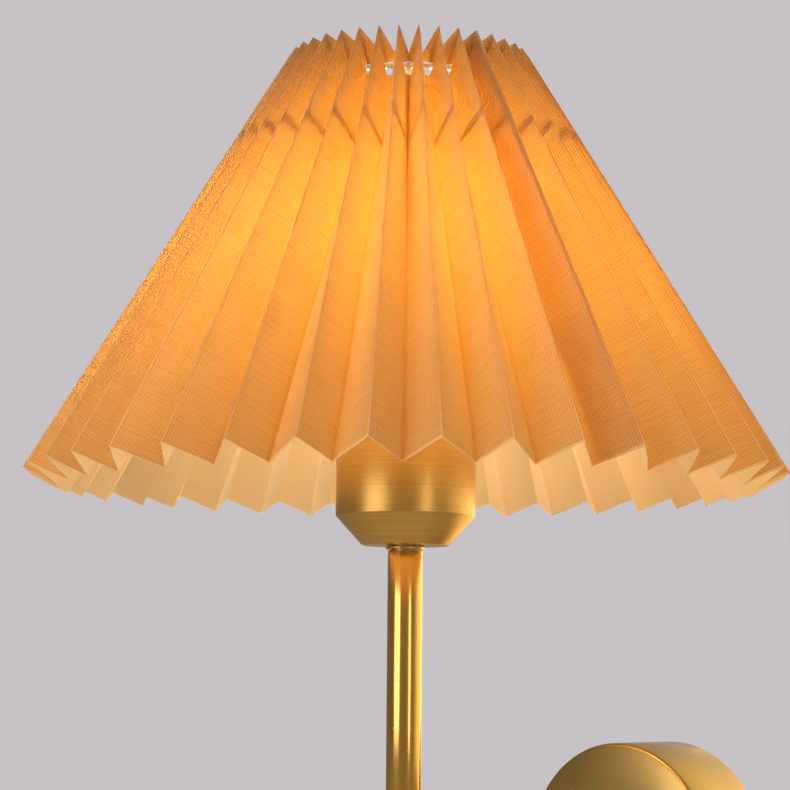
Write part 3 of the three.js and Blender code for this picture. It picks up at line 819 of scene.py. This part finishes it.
class LAMP_OT_carrier(bpy.types.Operator):
    """Bends the two wire rings and the three legs, and turns the carrier plate and lock ring"""

    bl_idname = "lamp.carrier"
    bl_label = "Shade carrier"

    def execute(self, context):
        wire_ring("wire_ring_top", "top_wire_ring")
        wire_ring("wire_ring_low", "low_wire_ring")
        for index in (1, 2, 3):
            carrier_leg(index)
        low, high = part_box("carrier_plate")
        outer = reach("carrier_plate")
        bore = reach("lock_ring") - 0.0074
        plate = turned("carrier_disc", ring_profile(bore, outer, 0, high.z - low.z), edge=0.0003)
        seat(plate, on_stem(low.z))
        settle(plate, "white_enamel", SHADE_BODY, "carrier_plate")
        low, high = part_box("lock_ring")
        outer, tall = reach("lock_ring"), high.z - low.z
        ledge, ribs, rib_high = 0.003, 48, 0.0004
        grip = turned(
            "holder_lock_ring",
            [
                (bore, 0), (outer, 0), (outer, tall * 0.32), (outer - ledge, tall * 0.4),
                (outer - ledge, tall), (bore, tall), (bore, 0),
            ],
            sides=144,
            edge=0.0003,
        )

        def on_rib(face):
            turn = math.atan2(face.center.y, face.center.x) % (2 * math.pi)
            upright = abs(face.normal.z) < 0.2 and face.center.z > tall * 0.45
            outside = face.center.xy.length > outer - 0.0035
            return upright and outside and int(turn / (2 * math.pi) * ribs * 2) % 2 == 0

        pick(grip, on_rib, "FACE")
        bpy.ops.mesh.extrude_region_shrink_fatten(TRANSFORM_OT_shrink_fatten={"value": -rib_high})
        leave_edit()
        seat(grip, on_stem(low.z))
        settle(grip, "bakelite", LOCK_BODY, "lock_ring")
        return {"FINISHED"}


# ---------- cup, holder and bulb ----------
class LAMP_OT_holder(bpy.types.Operator):
    """Turns the brass cup and its collar, and moulds the lampholder body"""

    bl_idname = "lamp.holder"
    bl_label = "Cup and holder"

    def execute(self, context):
        low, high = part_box("socket_cup")
        radius, tall = reach("socket_cup"), high.z - low.z
        wall, base, chamfer, bore, lip, floor = 0.0015, 0.015, 0.010, 0.005, 0.0004, 0.002
        cup = turned(
            "brass_cup",
            [
                (bore, 0), (base, 0), (radius, chamfer), (radius, tall - lip), (radius - lip, tall),
                (radius - wall, tall), (radius - wall, chamfer + 0.0006), (base - 0.0008, floor),
                (bore, floor), (bore, 0),
            ],
            sides=160,
            edge=0.00035,
        )
        seat(cup, on_stem(low.z))
        settle(cup, "satin_brass", WALL_MOUNT, "socket_cup")
        low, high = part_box("stem_collar")
        radius, tall = reach("stem_collar"), high.z - low.z
        collar = turned("stem_collar_ring", ring_profile(bore, radius, 0, tall), edge=0.0005)
        seat(collar, on_stem(low.z))
        settle(collar, "drawn_brass", WALL_MOUNT, "stem_collar")
        low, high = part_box("lampholder_body")
        flange, tall = reach("lampholder_body"), high.z - low.z
        body_radius, neck, hollow, floor, bead = 0.0195, 0.0185, 0.0146, 0.003, 0.0004
        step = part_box("socket_cup")[1].z + GAP - low.z
        holder = turned(
            "bakelite_holder",
            [
                (0, 0), (body_radius, 0), (body_radius, step), (flange, step), (flange, step + 0.0022),
                (neck, step + 0.0022), (neck, step + 0.004), (neck + bead, step + 0.0045),
                (neck + bead, step + 0.005), (neck, step + 0.0055), (neck, tall), (hollow, tall),
                (hollow, floor), (0, floor),
            ],
            edge=0.0003,
        )
        seat(holder, on_stem(low.z))
        settle(holder, "bakelite", WALL_MOUNT, "lampholder_body")
        return {"FINISHED"}


def filament(place):
    """The small light in the bulb. It throws the lower wire ring's shadow on the pleats."""
    light = bpy.context.scene.lamp_light
    glow = bpy.data.lights.new("filament", "POINT")
    glow.energy = light.filament_power
    glow.color = light.bulb_colour
    glow.shadow_soft_size = 0.005
    spot = bpy.data.objects.new("filament", glow)
    bpy.context.collection.objects.link(spot)
    spot.location = place


class LAMP_OT_bulb(bpy.types.Operator):
    """Blows the opal globe, lights it and rolls its threaded cap"""

    bl_idname = "lamp.bulb"
    bl_label = "Bulb"

    def execute(self, context):
        low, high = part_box("bulb_glass")
        radius = reach("bulb_glass")
        centre = high.z - radius - low.z
        neck, shell, filament_up = 0.0135, 0.0011, 0.008
        start = math.asin(neck / radius)
        outer = [(neck, 0)]
        steps = 28
        for i in range(steps):
            turn = start + (i / steps) * (math.pi - start)
            outer.append((radius * math.sin(turn), centre - radius * math.cos(turn)))
        outer.append((0, centre + radius))
        glass = turned("opal_globe", outer)
        apply_modifier(glass, "SOLIDIFY", thickness=shell, offset=-1)
        seat(glass, on_stem(low.z))
        bpy.ops.object.shade_smooth()
        settle(glass, "opal_glass", BULB_BODY, "bulb_glass")
        glass.visible_shadow = False  # lets the filament's light out
        filament(on_stem(low.z + centre + filament_up))
        low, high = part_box("bulb_cap")
        crest, tall = reach("bulb_cap"), high.z - low.z
        root, pitch = crest - 0.0009, 0.0036
        profile = [(0, 0), (0.008, 0), (root, 0.0024)]
        turns = 4
        for i in range(turns):
            z = 0.003 + i * pitch
            profile += [(root, z), (crest, z + pitch * 0.35)]
            profile += [(crest, z + pitch * 0.6), (root, z + pitch * 0.95)]
        profile += [(crest, tall - 0.004), (crest, tall), (0, tall)]
        cap = turned("bulb_thread", profile, sides=72, edge=0.0003)
        seat(cap, on_stem(low.z))
        settle(cap, "nickel", BULB_BODY, "bulb_cap")
        return {"FINISHED"}


# ---------- stem, hub and arm ----------
class LAMP_OT_stem(bpy.types.Operator):
    """Draws the stem and arm tubes and turns the hub, its finial and the arm collar"""

    bl_idname = "lamp.stem"
    bl_label = "Stem and arm"

    def execute(self, context):
        wall = 0.001
        low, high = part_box("stem_tube")
        radius = reach("stem_tube")
        stem = turned("brass_stem", ring_profile(radius - wall, radius, 0, high.z - low.z), edge=0.0002)
        seat(stem, on_stem(low.z))
        settle(stem, "drawn_brass", WALL_MOUNT, "stem_tube")
        low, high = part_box("arm_tube")
        arm = turned("brass_arm", ring_profile(radius - wall, radius, 0, high.y - low.y), edge=0.0002)
        seat(arm, Vector((0, high.y, middle("arm_tube").z)), OUTWARD)
        settle(arm, "drawn_brass", WALL_MOUNT, "arm_tube")
        low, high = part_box("arm_hub")
        hub_radius, tall = reach("arm_hub"), high.z - low.z
        edge, socket, way = 0.001, 0.005, 0.004
        hub = turned(
            "brass_hub",
            [
                (way, 0), (hub_radius - edge, 0), (hub_radius, edge), (hub_radius, tall - edge),
                (hub_radius - edge, tall), (radius + GAP, tall), (radius + GAP, tall - socket),
                (way, tall - socket), (way, 0),
            ],
            sides=120,
            edge=0.0004,
        )
        seat(hub, on_stem(low.z))
        clear_selection()
        bpy.ops.mesh.primitive_cylinder_add(
            vertices=64, radius=radius + GAP, depth=2 * socket,
            location=(STEM.x, STEM.y + hub_radius, middle("arm_tube").z), rotation=OUTWARD,
        )
        cut(hub, bpy.context.object)
        smooth_below(35)
        settle(hub, "drawn_brass", WALL_MOUNT, "arm_hub")
        low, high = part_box("hub_finial")
        dome, plug, plug_radius, rim = reach("hub_finial"), 0.005, 0.0032, 0.0012
        top = high.z - low.z
        shoulder = top - plug
        profile = [(0, 0.0)]
        steps = 14
        for i in range(1, steps + 1):
            turn = (1 - i / steps) * math.pi / 2
            profile.append((dome * math.cos(turn), (shoulder - rim) * (1 - math.sin(turn))))
        profile += [(dome - 0.001, shoulder), (plug_radius, shoulder), (plug_radius, top), (0, top)]
        finial = turned("brass_finial", profile)
        seat(finial, on_stem(low.z))
        settle(finial, "drawn_brass", WALL_MOUNT, "hub_finial")
        low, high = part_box("arm_collar")
        outer, tall, bore, socket = reach("arm_collar"), high.y - low.y, 0.005, 0.005
        collar = turned(
            "brass_arm_collar",
            [
                (bore, 0), (outer, 0), (outer, tall * 0.43), (outer - 0.0012, tall * 0.7),
                (outer - 0.0025, tall), (radius + GAP, tall), (radius + GAP, tall - socket),
                (bore, tall - socket), (bore, 0),
            ],
            edge=0.0004,
        )
        seat(collar, Vector((0, high.y, middle("arm_collar").z)), OUTWARD)
        settle(collar, "drawn_brass", WALL_MOUNT, "arm_collar")
        return {"FINISHED"}


# ---------- wall cover and its screws ----------
class LAMP_OT_cover(bpy.types.Operator):
    """Spins the wall cover and turns the two slotted screws that hold it"""

    bl_idname = "lamp.cover"
    bl_label = "Wall cover"

    def execute(self, context):
        low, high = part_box("wall_cover")
        radius, deep = reach("wall_cover"), high.y - low.y
        wall, bevel, bore, fillet, screw_hole = 0.0016, 0.0016, 0.005, 0.0004, 0.0023
        cover = turned(
            "brass_cover",
            [
                (bore, deep - wall), (radius - wall - fillet, deep - wall),
                (radius - wall, deep - wall - fillet), (radius - wall, 0), (radius, 0),
                (radius, deep - bevel), (radius - bevel * 0.3, deep - bevel * 0.3),
                (radius - bevel, deep), (bore, deep), (bore, deep - wall),
            ],
            sides=180,
            edge=0.0004,
        )
        seat(cover, Vector((0, high.y, middle("wall_cover").z)), OUTWARD)
        screw_y = middle("cover_screw_right").y
        clear_selection()
        bpy.ops.mesh.primitive_cylinder_add(
            vertices=32, radius=screw_hole, depth=3 * radius,
            location=(0, screw_y, 0), rotation=(0, math.pi / 2, 0),
        )
        cut(cover, bpy.context.object)
        smooth_below(35)
        settle(cover, "spun_brass", WALL_MOUNT, "wall_cover")
        for side, name in ((1, "right"), (-1, "left")):
            node = f"cover_screw_{name}"
            low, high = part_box(node)
            long = high.x - low.x
            head, shank, tall, point, rounding = reach(node, 2), 0.002, 0.003, 0.0005, 0.0006
            screw = turned(
                f"slotted_screw_{name}",
                [
                    (0, 0), (shank - point, 0), (shank, point), (shank, long - tall), (head, long - tall),
                    (head, long - rounding), (head - rounding, long), (0, long),
                ],
                sides=64,
                edge=0.0002,
            )
            clear_selection()
            slot = (0.0009, 0.02, 0.002)
            bpy.ops.mesh.primitive_cube_add(size=1, location=(0, 0, long), scale=slot)
            cut(screw, bpy.context.object)
            start = low.x if side == 1 else high.x
            seat(screw, Vector((start, screw_y, middle(node).z)), (0, side * math.pi / 2, 0))
            smooth_below(35)
            settle(screw, "drawn_brass", node, node)
        return {"FINISHED"}


class LAMP_OT_finishes(bpy.types.Operator):
    """Makes every material and gives the carried-over inner pieces theirs"""

    bl_idname = "lamp.finishes"
    bl_label = "Finishes"

    def execute(self, context):
        make_materials()
        for node, name in CARRIED.items():
            dress(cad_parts[node], [name])
        return {"FINISHED"}


# ---------- stage ----------
VIEW_TURN = math.radians(43.1)
LENS_MM = 101.2
CAMERA_DISTANCE = 0.761
CAMERA_BELOW_RIM = 0.0661
FLOOR_SIZE, FLOOR_LEVEL = 8, -0.9
WALL_GLOW_POWER = 3.0
AIM_TURN, AIM_UP, TILT = (math.radians(a) for a in (-0.30, 7.04, 0.49))


def view_axes():
    """Level directions from the stem to the viewer, and to the viewer's right."""
    back = Vector((math.sin(VIEW_TURN), -math.cos(VIEW_TURN), 0))
    right = Vector((math.cos(VIEW_TURN), math.sin(VIEW_TURN), 0))
    return back, right


def make_camera(context):
    """A camera below the rim, looking up a little past the stem."""
    back, right = view_axes()
    s = context.scene.lamp_shade
    up = Vector((0, 0, 1))
    forward = (right * math.sin(AIM_TURN) - back * math.cos(AIM_TURN)) * math.cos(AIM_UP)
    forward += up * math.sin(AIM_UP)
    level = forward.cross(up).normalized()
    above = level.cross(forward)
    side = level * math.cos(TILT) + above * math.sin(TILT)
    top = above * math.cos(TILT) - level * math.sin(TILT)
    data = bpy.data.cameras.new("camera")
    data.lens = LENS_MM
    data.sensor_width = 36
    data.clip_start, data.clip_end = 0.02, 50
    camera = bpy.data.objects.new("camera", data)
    context.collection.objects.link(camera)
    turn = Matrix((side, top, -forward)).transposed().to_4x4()
    rim = SHADE_LOW + s.drop
    place = STEM + back * CAMERA_DISTANCE + up * (rim - CAMERA_BELOW_RIM)
    camera.matrix_world = Matrix.Translation(place) @ turn
    context.scene.camera = camera


def softbox(name, turn, height, distance, size, power, colour):
    """A soft area light, turned so many degrees right of the viewer and aimed at the shade's foot."""
    back, right = view_axes()
    angle = math.radians(turn)
    aim = on_stem(SHADE_LOW)
    place = aim + (back * math.cos(angle) + right * math.sin(angle)) * distance + Vector((0, 0, height))
    data = bpy.data.lights.new(name, "AREA")
    data.shape = "RECTANGLE"
    data.size, data.size_y = size
    data.energy = power
    data.color = linear(colour)[:3]
    lamp = bpy.data.objects.new(name, data)
    bpy.context.collection.objects.link(lamp)
    facing = (aim - place).to_track_quat("-Z", "Y").to_matrix().to_4x4()
    lamp.matrix_world = Matrix.Translation(place) @ facing


def dimmed(colour, strength):
    """A colour as light of the given strength."""
    return [strength * channel for channel in linear(colour)[:3]] + [1.0]


def make_world(context):
    """Pale air to look at. Reflections see a dim room and a brighter wall, lit on its right."""
    world = bpy.data.worlds.new("room")
    context.scene.world = world
    world.use_nodes = True
    tree = world.node_tree
    tree.nodes.clear()
    seen = add_node(tree, "ShaderNodeBackground", Color=linear("#c6c2c5"), Strength=1.0)
    way = add_node(tree, "ShaderNodeTexCoord").outputs["Generated"]
    axes = add_node(tree, "ShaderNodeSeparateXYZ", links={"Vector": way})
    near_wall = add_node(
        tree, "ShaderNodeMapRange", {"interpolation_type": "SMOOTHSTEP"}, {"Value": axes.outputs["Y"]},
        From_Min=0.2, From_Max=0.9,
    )
    lit_side = add_node(
        tree, "ShaderNodeMapRange", {"interpolation_type": "SMOOTHSTEP"}, {"Value": axes.outputs["X"]},
        From_Min=-0.6, From_Max=0.3,
    )
    room = mixed_colour(tree, lit_side.outputs[0], dimmed("#cfc6ba", 0.34), dimmed("#dccdb4", 0.42))
    wall = mixed_colour(tree, lit_side.outputs[0], dimmed("#cfc8c4", 0.85), dimmed("#fae6bc", 1.7))
    air = mixed_colour(tree, near_wall.outputs[0], room, wall)
    felt = add_node(tree, "ShaderNodeBackground", links={"Color": air}, Strength=1.0)
    path = add_node(tree, "ShaderNodeLightPath")
    to_eye = path.outputs["Is Camera Ray"]
    mixed = add_node(
        tree, "ShaderNodeMixShader", links={0: to_eye, 1: felt.outputs[0], 2: seen.outputs[0]}
    )
    add_node(tree, "ShaderNodeOutputWorld", links={"Surface": mixed.outputs[0]})


class LAMP_OT_stage(bpy.types.Operator):
    """Places the camera, the floor, the soft lights and the room's air"""

    bl_idname = "lamp.stage"
    bl_label = "Stage"

    def execute(self, context):
        light = context.scene.lamp_light
        context.scene.view_settings.view_transform = "Standard"
        make_camera(context)
        clear_selection()
        bpy.ops.mesh.primitive_plane_add(size=FLOOR_SIZE, location=(0, -0.15, FLOOR_LEVEL))
        floor = bpy.context.object
        floor.name = "floor"
        floor.data.materials.append(
            plain_grain("pale_floor", "#e2dfdc", "#dad6d2", 0.8, 0.0, 4.0, 0.05)
        )
        softbox("softbox_left", -50, 0.35, 1.3, (0.9, 1.3), light.side_power, "#fff6ea")
        softbox("softbox_right", 34, 0.3, 1.4, (0.3, 1.3), light.front_power, "#fff3e2")
        softbox("wall_glow", 140, -0.2, 0.9, (0.8, 0.8), WALL_GLOW_POWER, "#ffd08a")
        make_world(context)
        return {"FINISHED"}


class LAMP_PT_panel(bpy.types.Panel):
    """Lists the lamp's sizes and the buttons that build it"""

    bl_idname = "LAMP_PT_panel"
    bl_label = "Wall lamp"
    bl_space_type = "VIEW_3D"
    bl_region_type = "UI"
    bl_category = "Wall Lamp"

    def draw(self, context):
        for group in (context.scene.lamp_shade, context.scene.lamp_light):
            box = self.layout.box()
            for key in group.__annotations__:
                box.prop(group, key)
        for operator in OPERATORS:
            self.layout.operator(operator.bl_idname)


GROUPS = {"lamp_shade": ShadeSettings, "lamp_light": LightSettings}
OPERATORS = (
    LAMP_OT_stage,
    LAMP_OT_finishes,
    LAMP_OT_cover,
    LAMP_OT_stem,
    LAMP_OT_holder,
    LAMP_OT_bulb,
    LAMP_OT_carrier,
    LAMP_OT_shade,
)


def register():
    for name, group in GROUPS.items():
        bpy.utils.register_class(group)
        setattr(bpy.types.Scene, name, bpy.props.PointerProperty(type=group))
    for cls in (*OPERATORS, LAMP_PT_panel):
        bpy.utils.register_class(cls)


def unregister():
    for cls in (LAMP_PT_panel, *reversed(OPERATORS)):
        bpy.utils.unregister_class(cls)
    for name, group in GROUPS.items():
        delattr(bpy.types.Scene, name)
        bpy.utils.unregister_class(group)


def main():
    register()
    bpy.ops.lamp.stage()
    bpy.ops.lamp.finishes()
    bpy.ops.lamp.cover()
    bpy.ops.lamp.stem()
    bpy.ops.lamp.holder()
    bpy.ops.lamp.bulb()
    bpy.ops.lamp.carrier()
    bpy.ops.lamp.shade()


if __name__ == "__main__":
    main()
